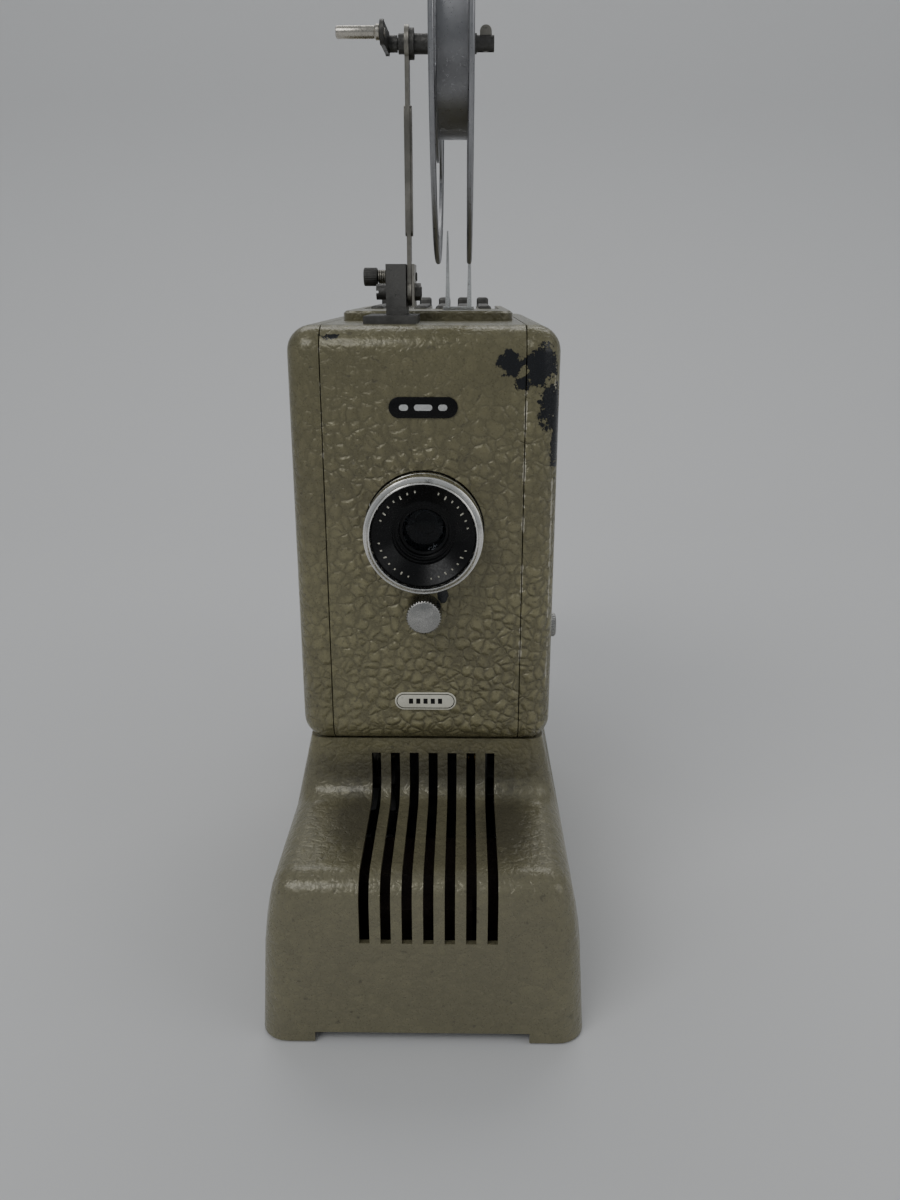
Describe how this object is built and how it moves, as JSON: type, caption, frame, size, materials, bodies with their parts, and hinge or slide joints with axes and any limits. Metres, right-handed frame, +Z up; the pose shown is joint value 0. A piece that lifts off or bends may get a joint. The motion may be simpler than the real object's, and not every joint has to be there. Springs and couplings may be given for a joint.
{
  "type": "film projector",
  "caption": "Small-gauge cine projector: rounded metal body with lens and side door on a louvred base, feed reel on a folding arm and take-up reel behind.",
  "frame": {"origin": "centre of the bounding box at the level the rubber feet stand on", "axes": "+Z up, -Y the way the lens looks, +X to the right as seen from in front; the shafts lie along X"},
  "size_m": [0.111, 0.354, 0.387],
  "materials": {
    "hammertone_paint": "glossy greenish-grey hammertone",
    "dark_steel": "dark oxidised steel",
    "arm_steel": "worn nickel-plated steel",
    "turned_aluminium": "turned and polished",
    "reel_metal": "satin aluminium",
    "bright_spring": "polished",
    "black_lacquer": "semi-gloss black",
    "cream_badge": "glossy cream",
    "cast_grey": "grey casting",
    "brass": "turned brass",
    "optical_glass": "polished glass",
    "mirror_silver": "silvered",
    "black_plastic": "moulded phenolic",
    "switch_chrome": "plated",
    "belt_steel": "matt rubber",
    "foot_rubber": "matt rubber",
    "winding": "varnished laminations and winding"
  },
  "bodies": {
    "chassis": {"base_shell": "hammertone_paint", "base_plate": "dark_steel", "rubber_feet": "foot_rubber", "case_screws": "arm_steel", "body_shell": "hammertone_paint", "left_cover": "hammertone_paint", "hinge_pins": "arm_steel", "vent_lid": "hammertone_paint", "upper_badge": "black_lacquer", "lower_badge": "cream_badge", "mechanism_frame": "cast_grey", "shaft_bushes": "brass", "gate_plate": "bright_spring", "lamp_house": "cast_grey", "condenser_lenses": "optical_glass", "lamp_socket": "black_plastic", "lamp_bulb": "optical_glass", "reflector": "mirror_silver", "motor_frame": "dark_steel", "transformer": "winding", "drive_belt": "belt_steel", "takeup_belt": "belt_steel", "mains_inlet": "black_plastic", "inlet_pins": "brass", "switch_body": "black_plastic", "arm_bracket": "dark_steel", "pivot_bolt": "dark_steel", "film_guide": "bright_spring", "takeup_arm": "dark_steel"},
    "door": {"door": "hammertone_paint"},
    "lens": {"lens_barrel": "turned_aluminium", "lens_cone": "black_lacquer", "lens_elements": "optical_glass"},
    "focus": {"focus_knob": "turned_aluminium", "focus_screw": "arm_steel"},
    "pressure_plate": {"pressure_plate": "bright_spring"},
    "claw": {"claw": "bright_spring"},
    "cam": {"cam_shaft": "arm_steel", "cam_gear": "brass", "main_pulley": "cast_grey", "inching_knob": "turned_aluminium"},
    "shutter": {"shutter_drum": "cast_grey", "shutter_gear": "brass"},
    "upper_roller": {"upper_roller": "turned_aluminium"},
    "motor": {"motor_shaft": "arm_steel", "fan_wheel": "cast_grey"},
    "lamp_switch": {"lamp_switch": "switch_chrome"},
    "speed_knob": {"speed_knob": "black_plastic"},
    "arm": {"feed_arm": "arm_steel", "arm_bush": "dark_steel"},
    "clamp": {"clamp_screw": "dark_steel", "clip_plate": "arm_steel", "clamp_spring": "arm_steel"},
    "feed": {"feed_spindle": "dark_steel", "rewind_crank": "dark_steel", "crank_handle": "turned_aluminium", "feed_reel": "reel_metal"},
    "feed_latch": {"feed_latch": "arm_steel"},
    "takeup": {"takeup_spindle": "dark_steel", "takeup_reel": "reel_metal"}
  },
  "joints": [
    {"name": "door_open", "type": "hinge", "parent": "chassis", "child": "door", "pos_m": [0.03343, 0.0324, 0.16], "axis": [0, 0, 1], "range_deg": [0, 100]},
    {"name": "focus_turn", "type": "hinge", "parent": "chassis", "child": "focus", "pos_m": [0, -0.125, 0.139], "axis": [0, 1, 0], "range_deg": [-360, 360]},
    {"name": "lens_slide", "type": "slide", "parent": "chassis", "child": "lens", "axis": [0, 1, 0], "range_m": [-0.003, 0.003]},
    {"name": "gate_open", "type": "slide", "parent": "chassis", "child": "pressure_plate", "axis": [0, -1, 0], "range_m": [0, 0.001], "stiffness_N_per_m": 300, "springref_m": -0.0005},
    {"name": "claw_stroke", "type": "slide", "parent": "chassis", "child": "claw", "axis": [0, 0, -1], "range_m": [0, 0.00754], "stiffness_N_per_m": 60, "springref_m": -0.004},
    {"name": "inching_turn", "type": "hinge", "parent": "chassis", "child": "cam", "pos_m": [0, -0.075, 0.116], "axis": [1, 0, 0], "continuous": true},
    {"name": "shutter_turn", "type": "hinge", "parent": "chassis", "child": "shutter", "pos_m": [0, -0.055, 0.149], "axis": [1, 0, 0], "continuous": true},
    {"name": "motor_turn", "type": "hinge", "parent": "chassis", "child": "motor", "pos_m": [0, -0.04, 0.039], "axis": [1, 0, 0], "continuous": true},
    {"name": "roller_turn", "type": "hinge", "parent": "chassis", "child": "upper_roller", "pos_m": [0, -0.081, 0.204], "axis": [1, 0, 0], "continuous": true},
    {"name": "lamp_switch_throw", "type": "hinge", "parent": "chassis", "child": "lamp_switch", "pos_m": [0, 0.038, 0.03], "axis": [1, 0, 0], "range_deg": [0, 28]},
    {"name": "speed_turn", "type": "hinge", "parent": "chassis", "child": "speed_knob", "pos_m": [0.028, 0.04, 0.032], "axis": [0, 1, 0], "range_deg": [0, 270]},
    {"name": "arm_fold", "type": "hinge", "parent": "chassis", "child": "arm", "pos_m": [0, -0.094, 0.244], "axis": [1, 0, 0], "range_deg": [0, 45]},
    {"name": "clamp_press", "type": "slide", "parent": "chassis", "child": "clamp", "axis": [1, 0, 0], "range_m": [0, 0.0025], "stiffness_N_per_m": 600, "springref_m": -0.001},
    {"name": "feed_turn", "type": "hinge", "parent": "arm", "child": "feed", "pos_m": [0, -0.094, 0.32], "axis": [1, 0, 0], "continuous": true},
    {"name": "feed_latch_flip", "type": "hinge", "parent": "feed", "child": "feed_latch", "pos_m": [0.0198, -0.094, 0.32], "axis": [0, 1, 0], "range_deg": [0, 90]},
    {"name": "takeup_turn", "type": "hinge", "parent": "chassis", "child": "takeup", "pos_m": [0, 0.11, 0.112], "axis": [1, 0, 0], "continuous": true}
  ],
  "couplings": [
    {"joint": "focus_turn", "follows": "lens_slide", "rad_per_m": 2094.4},
    {"joint": "shutter_turn", "follows": "inching_turn", "ratio": -1},
    {"joint": "motor_turn", "follows": "inching_turn", "ratio": 2.5714}
  ]
}
